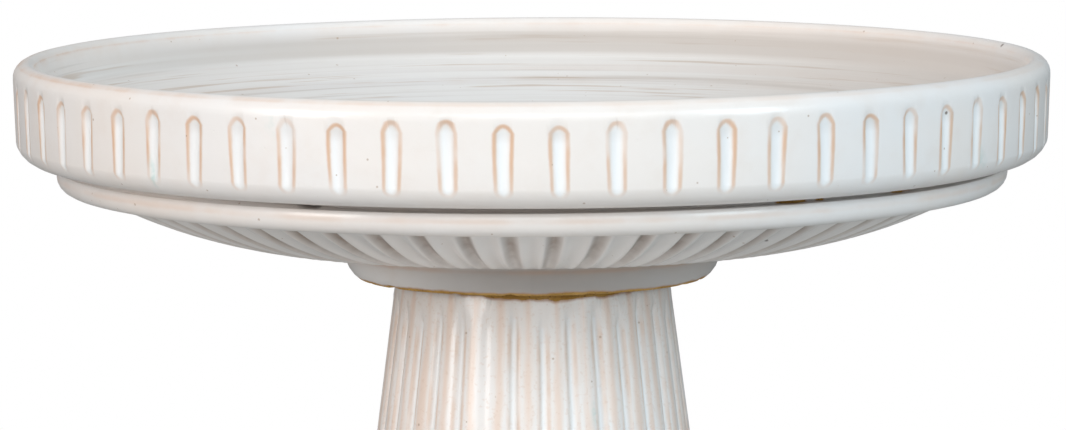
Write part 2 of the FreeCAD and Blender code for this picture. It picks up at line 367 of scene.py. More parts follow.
def flute_cut(line, side, sink, start):
    """Depth of the flutes, distance from their middle lines, and height of their upper balls.

    A flute is where the band stands outside a round tool with an upright axis and a ball at
    each end: its surface is at BOWL_RADIUS - depth + FLUTE_CUTTER
    - sqrt(FLUTE_CUTTER^2 - distance^2) from the bowl's axis.
    """
    ball = -FLUTE_TOP - FLUTE_CUTTER + start
    low_ball = -FLUTE_BOTTOM + FLUTE_CUTTER + 0.4 * start
    beyond_end = np.maximum(np.maximum(line.height - ball, low_ball - line.height), 0)
    away = np.sqrt(side ** 2 + beyond_end ** 2)
    inside = np.sqrt(np.maximum(FLUTE_CUTTER ** 2 - away ** 2, 0))
    beyond = np.maximum(away - FLUTE_CUTTER, 0)
    tool = BOWL_RADIUS - FLUTE_DEPTH - sink + FLUTE_CUTTER - inside + beyond
    return soft_above(line.radius - tool, 0.22), away, ball


def gadroon_cut(line, across, narrow, pitch, sink):
    """Depth of the gadroons, at a distance across from a groove's middle.

    It is the full depth times 0.45 (1 - (across / narrow)^2)^1.4 inside the groove, and
    times 0.55 s^2 outside it, where s goes from 0 at the groove's side to 1 midway to the
    next groove.
    """
    groove = np.clip(1 - (across / narrow) ** 2, 0, 1) ** 1.4
    between = np.clip((across - narrow) / (0.5 * pitch - narrow), 0, 1)
    deep = GADROON_DEPTH * (1 + 0.5 * sink) * (1 - ease(line.radius, 215, 223)) \
        * ease(line.radius, 137, 163) \
        * stretch(line.corner, (ROLL_HEEL + 0.2, ROLL_HEEL + 0.9), (GADROON_TIP + 0.6, FOOT_NECK))
    return deep * (0.45 * groove + 0.55 * between ** 2)


def hand_marks(line, angle):
    """Depth of what the potter's hands left: nicks, waver, throwing ridges and a bead.

    The raw edge is nicked where a seeded wavy line is above zero, by its square.  The
    ridges are a sine of the radius whose phase is itself a slow sine, and the bead stands
    out along the foot ring's upper edge.
    """
    nick = np.maximum(wander(5, (9, 17, 26, 41, 55), angle), 0) ** 2 * bell(
        line.near([RAW_EDGE]), 1.6)
    waver = 0.25 * (1 + wander(11, (2, 3, 5), angle)) * ease(line.radius, 60, 200)
    ridges = 0.16 * np.sin(line.radius / 3.1 + 2 * np.sin(line.radius / 17)) \
        * (1 - ease(line.corner, WALL_FOOT - 0.15, WALL_FOOT)) * ease(line.radius, 8, 40)
    bead = 0.7 * bell(line.along - line.corner_along[FOOT_BEAD], 0.9)
    return 1.5 * nick + waver + ridges - bead


def bare_clay_mm(line, angle, bearing):
    """Distance inside bare clay, negative where there is glaze: patches and the foot's edge."""
    bare = np.full(np.broadcast(line.corner, angle).shape, -FAR)
    strip = stretch(line.corner, (GROOVE_MOUTH + 0.4, GROOVE_MOUTH + 0.8),
                    (GROOVE_FLOOR + 0.7, GROOVE_FLOOR + 0.95))
    for middle, half in BARE_PATCHES:
        gap = np.abs(degrees_from(bearing, middle))
        bare = np.maximum(bare, np.where(strip > 0.5, (half - gap) * 4, -FAR))
    foot = line.along - line.corner_along[RAW_EDGE] + 2.1 + 0.9 * wander(7, (7, 13, 29), angle)
    return np.maximum(bare, foot)


def make_bowl():
    """A turned dish whose band is fluted and whose underside is gadrooned.

    The outline is sunk along its own normal by the depths of the flutes, the gadroons and
    the hand marks together, and raised where glaze has run into the groove.
    """
    line = bowl_outline()
    flute, offset = pitch_columns(FLUTES, FLUTE_COLUMNS)
    lean, sink, start, sway = (own[flute] for own in flute_differences())
    # the mesh's columns crowd about the flutes above, and about the wider gadroons below
    widen = ease(line.height, -ROLL_TOP - 2, -GADROON_START)
    shift = np.interp(np.abs(offset), (0, FLUTE_SIDE, 0.5), (0, GADROON_SHARE, 0.5))
    shift = (np.abs(offset) + (shift - np.abs(offset)) * widen) * np.sign(offset)
    angle = (flute + shift) / FLUTES * TURN
    bearing = np.degrees(angle) + 90
    pitch = TURN / FLUTES * line.radius

    side = shift * pitch - lean * 0.5 - 0.3 * np.sin(line.height / 9 + sway)
    side = side / np.interp(-line.height, (FLUTE_TOP, FLUTE_BOTTOM), FLUTE_STRETCH)
    in_band = stretch(line.corner, (LIP_CREST + 0.2, LIP_CREST + 0.8),
                      (GROOVE_MOUTH - 0.1, GROOVE_MOUTH + 0.3))
    fluted, away, ball = flute_cut(line, side, sink, start)
    across = np.abs(shift * pitch - 0.5 * lean)
    narrow = (GADROON_SHARE + 0.012 * np.sin(sway)) * pitch
    run_side = np.abs(degrees_from(bearing, GLAZE_FILL_BEARING))
    run_in = GLAZE_FILL * (1 - ease(run_side, 20, 50)) * stretch(
        line.corner, (GROOVE_MOUTH + 0.5, GROOVE_ROOF), (GROOVE_FLOOR, GROOVE_FLOOR + 0.5))
    cut = fluted * in_band * np.abs(line.out) + gadroon_cut(line, across, narrow, pitch, sink) \
        + hand_marks(line, angle) - run_in
    radius = line.radius - cut * line.out
    height = RIM + line.height - cut * line.up

    under = stretch(line.corner, (ROLL_HEEL + 0.2, ROLL_HEEL + 0.9),
                    (GADROON_TIP + 0.5, FOOT_NECK))
    flute_mm = np.where(line.corner < GROOVE_ROOF, away - FLUTE_HALF_WIDTH, FAR)
    flute_mm = flute_mm + FAR * (1 - in_band) * (line.corner < GROOVE_FLOOR)
    flute_mm = np.where(line.corner > ROLL_HEEL, across + FAR * (1 - under), flute_mm)

    # painted shade: masks for the flutes' upper ends, the scallops under the gadroons and the
    # groove under the band, darkened as if in shadow
    arch = ease(line.height, ball - 2, ball + 3) * (away < FLUTE_HALF_WIDTH + 0.5) * in_band
    scallop = bell(line.along - line.corner_along[GADROON_TIP] - 2.2, 1.3)
    in_groove = stretch(line.corner, (GROOVE_MOUTH + 0.2, GROOVE_MOUTH + 0.9),
                        (GROOVE_FLOOR + 0.6, ROLL_CREST))
    painted_shade = np.maximum(in_groove, np.maximum(0.9 * scallop, 0.8 * arch))

    strength = np.interp(line.corner, *zip(*ARRIS_STRENGTH))
    above = 0.7 * bell(run_side, 50) * (line.corner < BAND_LOW)
    below = 0.7 * (line.corner > BAND_LOW)
    # painted shade: the foot ring is greyed, partly as thinner glaze and partly as if in the
    # bowl's shadow, lighter towards its sides where the lamps reach it, more so on the left; the
    # neck gets a painted highlight line
    aside = degrees_from(bearing, 0)
    foot_light = np.where(aside < 0, 0.97, 0.42) * bell(np.abs(aside) - 64, 38)
    foot = ease(line.corner, GADROON_TIP + 0.2, FOOT_NECK + 0.2) * (1 - foot_light) \
        * (1 - 0.8 * bell(line.along - line.corner_along[FOOT_NECK], 0.8))

    traits = {
        "groove_mm": flute_mm,
        "arris_mm": line.near(BOWL_ARRISES),
        "arris_strength": strength * (0.3 + above + below),
        "bare_mm": bare_clay_mm(line, angle, bearing),
        "edge_strength": 0.85 * (line.corner < GROOVE_FLOOR) * (1 - ease(-line.height, 38, 45)),
        "under": under,
        # mask of the creases' brown, partly thin glaze and partly painted shade
        "crease": under * (0.3 + 0.7 * ease(line.radius, 152, 205)),
        "foot": foot,
        "basin": 1 - ease(line.corner, WALL_FOOT + 0.75, LIP_INSIDE),
        "wall": stretch(line.corner, (WALL_FOOT - 0.07, WALL_FOOT + 0.15),
                        (WALL_FOOT + 0.75, LIP_INSIDE)),
        "painted_shade": painted_shade,
        "copper": copper_runs(BOWL_RUNS, bearing, -line.height, radius)
        * (line.corner > BAND_HEAD),
    }
    return turned_mesh("fluted_bowl", radius, height, angle, False, traits)


# ------------------------------------------------------------------ the column

STAVES = 32
STAVE_GROOVE_SHARE = 0.17     # half a groove, as a share of the pitch
STAVE_COLUMNS = (0, 0.03, 0.06, 0.09, 0.12, 0.145, STAVE_GROOVE_SHARE, 0.195, 0.22, 0.26, 0.32,
                 0.39, 0.445, 0.5)
STAVE_DEPTH = 1.6
STAVE_CROWN = 0.4             # how far a stave's crown stands over its sides, in STAVE_DEPTHs
STAVE_TURN = math.radians(3.9)   # first groove's bearing from the front
STAVE_TOP = 27.5              # rim down to the grooves' upper ends
FILLED_GROOVE = STAVES - 2    # glaze fills this one
HEAD_BARE = 15.2              # bare clay below the rim
HEAD_BARE_DIP = 4.5           # how much lower the bare clay comes near the front
HEAD_DIP_BEARING = 8
HEAD_RADIUS = 67.2
RIM_INNER_RADIUS = 54
RIM_ROUND = 3
BASE_TOP = 40
SHAFT_BASE_RADIUS = 127.7
BASE_RADIUS = 137
BASE_INNER_RADIUS = 121
BASE_BARE = 2.2               # bare clay above the floor

# the corners of the column's outline, numbered in its order of travel
HEAD_INSIDE, HEAD_TOP, HEAD_SIDE, SHAFT_FOOT, BASE_SHOULDER, BASE_EDGE, BASE_INSIDE = range(7)


def column_outline():
    """From the rim's inner edge over the head, down the shaft and base, and up the hollow."""
    top = COLUMN_TOP
    points = [
        (RIM_INNER_RADIUS, top), (HEAD_RADIUS - RIM_ROUND, top), (HEAD_RADIUS, top - RIM_ROUND),
        (SHAFT_BASE_RADIUS, BASE_TOP), (SHAFT_BASE_RADIUS + 4, BASE_TOP),
        (BASE_RADIUS, 0), (BASE_INNER_RADIUS, 0),
    ]
    bulges = {HEAD_TOP: (RIM_ROUND, 1), BASE_SHOULDER: (42, 1)}

    def crowd(corner):
        """More rows near the shaft's two ends, where the grooves begin."""
        upper = (corner > HEAD_SIDE) & (corner < HEAD_SIDE + 0.2)
        lower = (corner > SHAFT_FOOT - 0.1) & (corner < SHAFT_FOOT)
        return 0.35 + 0.9 * upper + 0.4 * lower

    return Outline(points, bulges, 118, 0.5, closed=True, crowd=crowd)


def make_column():
    """A turned hollow shaft with broad rounded staves between narrow grooves.

    The surface sinks by depth * ((1 - (d / w)^2)^1.3 + STAVE_CROWN (1 - s)^2).  d is the
    distance from a groove's middle line, w its half width, and s goes from 0 at the
    groove's side to 1 at the stave's middle.
    """
    line = column_outline()
    rng = np.random.default_rng(32)
    groove, offset = pitch_columns(STAVES, STAVE_COLUMNS)
    pitch = TURN / STAVES * line.radius
    angle = (groove + offset) / STAVES * TURN - math.pi / 2 + STAVE_TURN
    drift = rng.uniform(0, TURN, STAVES)[groove]
    across = np.abs(offset * pitch - 0.25 * np.sin(line.height / 23 + drift))
    top_end = COLUMN_TOP - STAVE_TOP - rng.normal(0, 2.4, STAVES)[groove]
    uneven = rng.uniform(0.75, 1.15, STAVES)[groove]
    open_share = np.where(groove == FILLED_GROOVE, 0.12, 1) * uneven

    shaft = stretch(line.corner, (HEAD_SIDE + 0.001, HEAD_SIDE + 0.004),
                    (SHAFT_FOOT - 0.004, SHAFT_FOOT - 0.001))
    half = STAVE_GROOVE_SHARE * pitch
    above_end = np.maximum(line.height - top_end + half, 0)
    below_end = np.maximum(BASE_TOP + 12 + half - line.height, 0)
    away = np.sqrt(across ** 2 + above_end ** 2 + below_end ** 2)
    within = np.clip(1 - (away / half) ** 2, 0, 1) ** 1.3
    swell = np.clip((across - half) / (0.5 * pitch - half), 0, 1)
    running = (1 - ease(line.height, top_end - 4, top_end + 3)) \
        * ease(line.height, BASE_TOP + 8, BASE_TOP + 24)
    cut = STAVE_DEPTH * shaft * open_share * (within + STAVE_CROWN * (1 - swell) ** 2 * running)
    wobble = 0.2 * (1 + wander(3, (2, 3, 4), angle + line.height / 300))
    # glaze runs end in small beads just above the grooves
    bead = 0.55 * bell(line.height - top_end - 2, 3.2) * bell(across, 0.2 * pitch)
    cut = cut + (wobble - bead) * shaft

    radius = line.radius - cut * line.out
    height = line.height - cut * line.up
    down = COLUMN_TOP - line.height
    bearing = np.degrees(angle) + 90
    outside = stretch(line.corner, (HEAD_SIDE - 0.1, HEAD_SIDE), (BASE_EDGE - 0.05, BASE_EDGE))
    bare = HEAD_BARE + HEAD_BARE_DIP * bell(degrees_from(bearing, HEAD_DIP_BEARING), 45) - down
    bare = bare + 0.8 * wander(19, (7, 17, 31, 53), angle)
    bare = np.where(outside > 0.5, np.maximum(bare, BASE_BARE - line.height), FAR)
    traits = {
        "groove_mm": np.where((shaft > 0.5) & (open_share > 0.3), away - half, FAR),
        "arris_mm": line.near([SHAFT_FOOT + 0.5, BASE_SHOULDER]),
        "arris_strength": stretch(line.corner, (SHAFT_FOOT - 0.02, SHAFT_FOOT),
                                  (BASE_SHOULDER + 0.6, BASE_EDGE)),
        "stave_share": np.abs(offset) * 2,
        "bare_mm": bare,
        "edge_strength": 0.45 * (1 - ease(line.height, top_end - 12, top_end - 2)),
        "copper": copper_runs(COLUMN_RUNS, bearing, down, radius),
        "dribble": 1 - ease(down, 24, 40),
    }
    return turned_mesh("fluted_column", radius, height, angle, True, traits)


# ------------------------------------------------------------------ the rubber ring

RING_INNER_RADIUS = 56
RING_GROOVES = 3
RING_GROOVE_DEPTH = 0.22


def make_ring():
    """A flat rubber ring with rounded edges and pressed grooves on each face.

    A face sinks by RING_GROOVE_DEPTH * (1 - cos(2 pi n s)) / 2, n grooves over the share s
    of its width.
    """
    inner, outer = RING_INNER_RADIUS, RING_REACH
    low, high = ring_low.z / MM, ring_high.z / MM
    points = [(inner, high), (outer, high), (outer, low), (inner, low)]
    line = Outline(points, {}, 72, 0.45, closed=True)
    angle = np.arange(192) / 192 * TURN
    face = ease(np.abs(line.up), 0.9, 1.0)
    share = (line.radius - inner) / (outer - inner)
    tread = RING_GROOVE_DEPTH * face * (0.5 - 0.5 * np.cos(share * RING_GROOVES * TURN))
    radius = line.radius + 0 * angle
    height = line.height - tread * line.up + 0 * angle
    return turned_mesh("seat_ring", radius, height, angle, True, {})


# ------------------------------------------------------------------ shader node helpers

def is_socket(value):
    """True for a node's socket, so that helpers can take either a link or a number."""
    return isinstance(value, bpy.types.NodeSocket)


class Maker:
    """Adds nodes to one tree, linking sockets and setting numbers by input name or place."""

    def __init__(self, tree):
        self.tree = tree

    def node(self, kind, settings=None, **inputs):
        made = self.tree.nodes.new(kind)
        for key, value in (settings or {}).items():
            setattr(made, key, value)
        for key, value in inputs.items():
            place = int(key[1:]) if key[0] == "n" and key[1:].isdigit() else key.replace("_", " ")
            self.feed(value, made.inputs[place])
        return made

    def feed(self, value, socket):
        """Link a socket's value, or set a number's or a colour's, on another socket."""
        if is_socket(value):
            self.tree.links.new(value, socket)
        else:
            socket.default_value = value

    def group(self, name, **inputs):
        """One use of a named node group, with its inputs linked or set; gives its outputs."""
        made = self.tree.nodes.new("ShaderNodeGroup")
        made.node_tree = bpy.data.node_groups[name]
        for key, value in inputs.items():
            self.feed(value, made.inputs[key.replace("_", " ")])
        return made.outputs

    def math(self, operation, first, second=0.0, third=0.0):
        return self.node("ShaderNodeMath", {"operation": operation},
                         n0=first, n1=second, n2=third).outputs[0]

    def times(self, first, *others):
        """The product of all the values."""
        for other in others:
            first = self.math("MULTIPLY", first, other)
        return first

    def ramp(self, value, low, high, start=0.0, finish=1.0):
        """Smooth step of value from low to high, given out from start to finish."""
        made = self.node("ShaderNodeMapRange", {"interpolation_type": "SMOOTHSTEP"},
                         Value=value, From_Min=low, From_Max=high, To_Min=start, To_Max=finish)
        return made.outputs["Result"]

    def mix(self, share, first, second):
        """Colour that goes from first to second as share goes from 0 to 1."""
        made = self.node("ShaderNodeMix", {"data_type": "RGBA"}, n0=share, n6=first, n7=second)
        return made.outputs[2]

    def wash(self, colour, mask, strength, tint):
        """Colour washed with a tint by mask times strength."""
        return self.mix(self.times(mask, strength), colour, tint)

    def noise(self, place, scale, detail=3.0, roughness=0.55, warp=0.0):
        return self.node("ShaderNodeTexNoise", None, Vector=place, Scale=scale, Detail=detail,
                         Roughness=roughness, Distortion=warp).outputs["Fac"]

    def drawn_out(self, place, share):
        """The place with its height shortened to a share, so that a pattern runs downward."""
        return self.node("ShaderNodeMapping", None, Vector=place,
                         Scale=(1, 1, share)).outputs[0]

    def apart(self, vector):
        """The three parts of a vector."""
        return self.node("ShaderNodeSeparateXYZ", None, Vector=vector).outputs

    def vector(self, x, y, z):
        return self.node("ShaderNodeCombineXYZ", None, X=x, Y=y, Z=z).outputs[0]

    def trait(self, name):
        return self.node("ShaderNodeAttribute", {"attribute_name": name}).outputs["Fac"]

    def object_place(self):
        return self.node("ShaderNodeTexCoord").outputs["Object"]


def new_group(name, inputs, outputs):
    """An empty node group with those inputs (name, type, value) and outputs (name, type)."""
    group = bpy.data.node_groups.new(name, "ShaderNodeTree")
    for label, kind, value in inputs:
        made = group.interface.new_socket(label, in_out="INPUT", socket_type="NodeSocket" + kind)
        if value is not None:
            made.default_value = value
    for label, kind in outputs:
        group.interface.new_socket(label, in_out="OUTPUT", socket_type="NodeSocket" + kind)
    given = group.nodes.new("NodeGroupInput").outputs
    return Maker(group), given, group.nodes.new("NodeGroupOutput").inputs


def thin_glaze_group():
    """Where glaze draws back from an edge: a ragged band round distance zero."""
    maker, given, put = new_group("thin_glaze", [
        ("Place", "Vector", None), ("Distance", "Float", 9.0), ("Width", "Float", 1.0),
        ("Ragged", "Float", 0.5)], [("Mask", "Float")])
    coarse = maker.noise(given["Place"], 70.0, 3.0)
    fine = maker.noise(given["Place"], 420.0, 2.0)
    shake = maker.math("ADD", maker.times(coarse, 0.7), maker.times(fine, 0.3))
    spread = maker.math("MULTIPLY_ADD", maker.math("SUBTRACT", shake, 0.5), given["Ragged"], 1.0)
    wide = maker.times(given["Width"], spread)
    near = maker.math("DIVIDE", maker.math("ABSOLUTE", given["Distance"]), wide)
    band = maker.ramp(near, 0.15, 1.1, 1.0, 0.0)
    patchy = maker.ramp(maker.noise(given["Place"], 38.0, 2.0), 0.3, 0.62, 0.25, 1.0)
    maker.feed(maker.times(band, patchy), put["Mask"])


def specks_group():
    """Small dark dots of iron: the middles of some cells of a cell pattern."""
    maker, given, put = new_group("iron_specks", [
        ("Place", "Vector", None), ("Scale", "Float", 150.0), ("Size", "Float", 0.12),
        ("Share", "Float", 0.2)], [("Mask", "Float")])
    cells = maker.node("ShaderNodeTexVoronoi", None, Vector=given["Place"],
                       Scale=given["Scale"])
    pick = maker.node("ShaderNodeSeparateColor", None, Color=cells.outputs["Color"]).outputs
    chosen = maker.math("LESS_THAN", pick[0], given["Share"])
    size = maker.times(given["Size"], maker.math("MULTIPLY_ADD", pick[1], 0.8, 0.5))
    dot = maker.ramp(maker.math("DIVIDE", cells.outputs["Distance"], size), 0.6, 1.1, 1.0, 0.0)
    maker.feed(maker.times(dot, chosen), put["Mask"])


def throwing_group():
    """Rings left by the wheel: noise read along radius plus height, drifting with the bearing."""
    maker, given, put = new_group("throwing_rings", [
        ("Place", "Vector", None), ("Fine", "Float", 135.0), ("Stretch", "Float", 0.004)],
        [("Rings", "Float"), ("Bands", "Float"), ("Arcs", "Float")])
    x, y, z = maker.apart(given["Place"])
    radius = maker.node("ShaderNodeVectorMath", {"operation": "LENGTH"},
                        n0=maker.vector(x, y, 0.0)).outputs["Value"]
    reach = maker.math("ADD", radius, z)
    turn = maker.math("ARCTAN2", y, x)
    slow = maker.vector(reach, maker.times(turn, given["Stretch"]), 0.0)
    maker.feed(maker.noise(slow, given["Fine"], 3.0, 0.6), put["Rings"])
    maker.feed(maker.noise(slow, 75.0, 2.0, 0.5), put["Bands"])
    broken = maker.vector(reach, maker.times(turn, 0.009), 0.3)
    maker.feed(maker.noise(broken, 120.0, 3.0, 0.6), put["Arcs"])


def clay_group():
    """Bare fired clay: grog of several tans, and the height of its grain."""
    maker, given, put = new_group("bare_clay", [("Place", "Vector", None)],
                                  [("Color", "Color"), ("Height", "Float")])
    cloud = maker.noise(given["Place"], 45.0, 3.0)
    grog = maker.noise(given["Place"], 900.0, 3.0, 0.7)
    tan = maker.mix(maker.ramp(cloud, 0.35, 0.65), DARK_TAN_CLAY, LIGHT_TAN_CLAY)
    maker.feed(maker.mix(maker.ramp(grog, 0.52, 0.7), tan, GROG), put["Color"])
    maker.feed(grog, put["Height"])


def glaze_skin_group():
    """Slow waves, orange-peel and pinholes of a thick poured glaze, as a height."""
    maker, given, put = new_group("glaze_skin", [("Place", "Vector", None)],
                                  [("Height", "Float")])
    slow = maker.noise(given["Place"], 28.0, 2.0)
    peel = maker.noise(given["Place"], 210.0, 2.0)
    pits = maker.group("iron_specks", Place=given["Place"], Scale=330.0, Size=0.16,
                       Share=0.05)["Mask"]
    waves = maker.math("MULTIPLY_ADD", peel, 0.12, slow)
    maker.feed(maker.math("MULTIPLY_ADD", pits, -0.25, waves), put["Height"])


def new_material(name):
    """A material with an empty tree but for its surface shader and output."""
    material = bpy.data.materials.new(name)
    material.use_nodes = True
    material.node_tree.nodes.clear()
    maker = Maker(material.node_tree)
    shader = maker.node("ShaderNodeBsdfPrincipled")
    output = maker.node("ShaderNodeOutputMaterial")
    maker.feed(shader.outputs[0], output.inputs[0])
    return material, maker, shader.inputs


# ------------------------------------------------------------------ finishes

CREAM = (0.80, 0.755, 0.72, 1)
COOL_CREAM = (0.79, 0.775, 0.765, 1)
CLOUD_TAN = (0.68, 0.57, 0.49, 1)
POOLED = (0.83, 0.85, 0.86, 1)
BLUSH = (0.74, 0.56, 0.45, 1)
BROKEN = (0.64, 0.39, 0.24, 1)
# painted shade for the groove under the band, the scallops and the flute tops
PAINTED_SHADE_BROWN = (0.42, 0.33, 0.27, 1)

STREAK_GREY = (0.56, 0.51, 0.465, 1)
STREAK_PALE = (0.85, 0.84, 0.825, 1)
STREAK_TAN = (0.46, 0.30, 0.18, 1)
# painted shade for the basin's right side
RIGHT_SHADE_BEIGE = (0.56, 0.505, 0.46, 1)
LEFT_TAN = (0.62, 0.50, 0.42, 1)
# painted shade for the basin's far wall
FAR_WALL_SHADE = (0.47, 0.42, 0.38, 1)

STAVE_TAN = (0.76, 0.60, 0.50, 1)
STAVE_FLECK = (0.60, 0.42, 0.31, 1)

# the underside's tan, crease brown and foot grey are partly glaze and partly painted shade; the
# lobe white is a painted highlight
UNDER_TAN_AND_SHADE = (0.55, 0.49, 0.44, 1)
CREASE_BROWN_AND_SHADE = (0.22, 0.15, 0.105, 1)
# painted highlight along the gadroon lobes
LOBE_HIGHLIGHT = (0.85, 0.83, 0.81, 1)
FOOT_GREY_AND_SHADE = (0.345, 0.31, 0.285, 1)

FAINT_SPECK = (0.34, 0.21, 0.12, 1)
SPECK = (0.10, 0.06, 0.035, 1)
COPPER_SPECK = (0.20, 0.36, 0.31, 1)
COPPER_RUN = (0.30, 0.55, 0.52, 1)

TOASTED_CLAY = (0.46, 0.22, 0.085, 1)
DARK_TAN_CLAY = (0.42, 0.225, 0.045, 1)
LIGHT_TAN_CLAY = (0.60, 0.355, 0.10, 1)
GROG = (0.24, 0.13, 0.05, 1)

RUBBER_BLACK = (0.022, 0.021, 0.02, 1)
RUBBER_DUST = (0.11, 0.10, 0.09, 1)
FLOOR_DARK = (0.42, 0.415, 0.405, 1)
FLOOR_PALE = (0.46, 0.455, 0.445, 1)


def glaze_body(maker, place):
    """The glaze's own colour, which drifts between warm and cool cream and clouds to tan."""
    drift = maker.ramp(maker.noise(place, 9.0, 3.0), 0.35, 0.65)
    cloudy = maker.ramp(maker.noise(place, 55.0, 4.0, 0.6), 0.45, 0.75)
    return maker.wash(maker.mix(drift, CREAM, COOL_CREAM), cloudy, 0.16, CLOUD_TAN)


def wheel_marks_and_shade(maker, place, colour):
    """The basin's streaks along the wheel's rings, a tan wash on its left, painted shade on its
    right side and far wall, and the rings' height.
    """
    basin = maker.trait("basin")
    rings = maker.group("throwing_rings", Place=place)
    for kind, low, high, strength, tint in (
            ("Rings", 0.5, 0.62, 0.6, STREAK_GREY), ("Bands", 0.46, 0.57, 0.7, STREAK_PALE),
            ("Arcs", 0.57, 0.65, 0.5, STREAK_TAN)):
        streak = maker.times(maker.ramp(rings[kind], low, high), basin)
        colour = maker.wash(colour, streak, strength, tint)

    x, y, _ = maker.apart(place)
    # painted shade: the basin's right side darkened
    right = maker.times(maker.ramp(x, 0.0, 0.24), basin)
    colour = maker.wash(colour, right, 0.7, RIGHT_SHADE_BEIGE)
    left = maker.times(maker.ramp(x, -0.24, 0.0, 1.0, 0.0), basin)
    colour = maker.wash(colour, left, 0.22, LEFT_TAN)
    # painted shade: the basin's far wall greyed
    far_wall_shade = maker.times(maker.ramp(y, 0.05, 0.25), maker.trait("wall"))
    colour = maker.wash(colour, far_wall_shade, 0.75, FAR_WALL_SHADE)
    return colour, maker.times(rings["Rings"], basin, 0.35)


def stave_runs(maker, place, colour):
    """Tan runs and flecks down the staves, and the height of wrinkles where the glaze is thick."""
    runs = maker.noise(maker.drawn_out(place, 0.12), 130.0, 3.0)
    wave = maker.math("MULTIPLY_ADD", runs, 1.1, -0.55)
    middle = maker.ramp(maker.math("ADD", maker.trait("stave_share"), wave), 0.5, 1.0)
    colour = maker.wash(colour, middle, 0.75, STAVE_TAN)
    fleck = maker.ramp(maker.noise(place, 520.0, 2.0), 0.56, 0.7)
    colour = maker.wash(colour, fleck, 0.22, STAVE_FLECK)
    wrinkle = maker.noise(maker.drawn_out(place, 0.25), 170.0, 3.0, 0.5, 0.6)
    return colour, maker.times(wrinkle, maker.trait("dribble"), 2.2)


def underside_tones(maker, place, groove, under, colour):
    """The underside: grey foot ring and brown creases, partly painted shade, and painted
    highlights on the lobes.
    """
    # the underside washed darker tan, partly thinner glaze and partly painted shade
    colour = maker.wash(colour, under, 0.15, UNDER_TAN_AND_SHADE)
    # the foot ring greyed, partly glaze and partly painted shade, with a painted highlight line at
    # its neck
    colour = maker.wash(colour, maker.trait("foot"), 0.85, FOOT_GREY_AND_SHADE)
    # brown in the creases between the lobes, partly thin glaze and partly painted shade, stronger
    # towards the outer edge
    crease = maker.times(maker.ramp(groove, 0.4, 4.8, 1.0, 0.0), maker.trait("crease"))
    mottled = maker.ramp(maker.noise(place, 70.0, 3.0), 0.3, 0.7, 0.65, 1.0)
    colour = maker.wash(colour, crease, mottled, CREASE_BROWN_AND_SHADE)
    # painted highlight along the middle of each lobe
    lobe_highlight = maker.times(maker.ramp(groove, 3.4, 5.4), under)
    return maker.wash(colour, lobe_highlight, 0.8, LOBE_HIGHLIGHT)


def broken_edges(maker, place, groove, colour):
    """Glaze thinned to orange along edges: the colour, and masks of the line and its blush."""
    def thinned(distance, width, ragged):
        return maker.group("thin_glaze", Place=place, Distance=distance, Width=width,
                           Ragged=ragged)["Mask"]

    arris_mm, strength = maker.trait("arris_mm"), maker.trait("arris_strength")
    blush = maker.times(thinned(arris_mm, 7.0, 0.8), strength, 0.55)
    colour = maker.mix(blush, colour, BLUSH)
    grooves = maker.times(thinned(groove, 1.5, 0.9), maker.trait("edge_strength"))
    arrises = maker.times(thinned(arris_mm, 2.1, 1.4), strength)
    worn = maker.math("MAXIMUM", grooves, arrises)
    return maker.mix(worn, colour, BROKEN), worn, blush


def iron_and_copper(maker, place, colour):
    """Faint and bold specks of iron, a few of copper, and the runs of copper green."""
    for scale, size, share, strength, tint in (
            (210.0, 0.13, 0.10, 0.55, FAINT_SPECK), (46.0, 0.075, 0.13, 0.8, SPECK),
            (17.0, 0.05, 0.08, 0.6, COPPER_SPECK)):
        dots = maker.group("iron_specks", Place=place, Scale=scale, Size=size, Share=share)
        colour = maker.wash(colour, dots["Mask"], strength, tint)
    grainy = maker.ramp(maker.noise(place, 300.0, 3.0), 0.35, 0.65, 0.2, 0.9)
    copper = maker.times(maker.trait("copper"), grainy)
    return maker.wash(colour, copper, 0.6, COPPER_RUN)


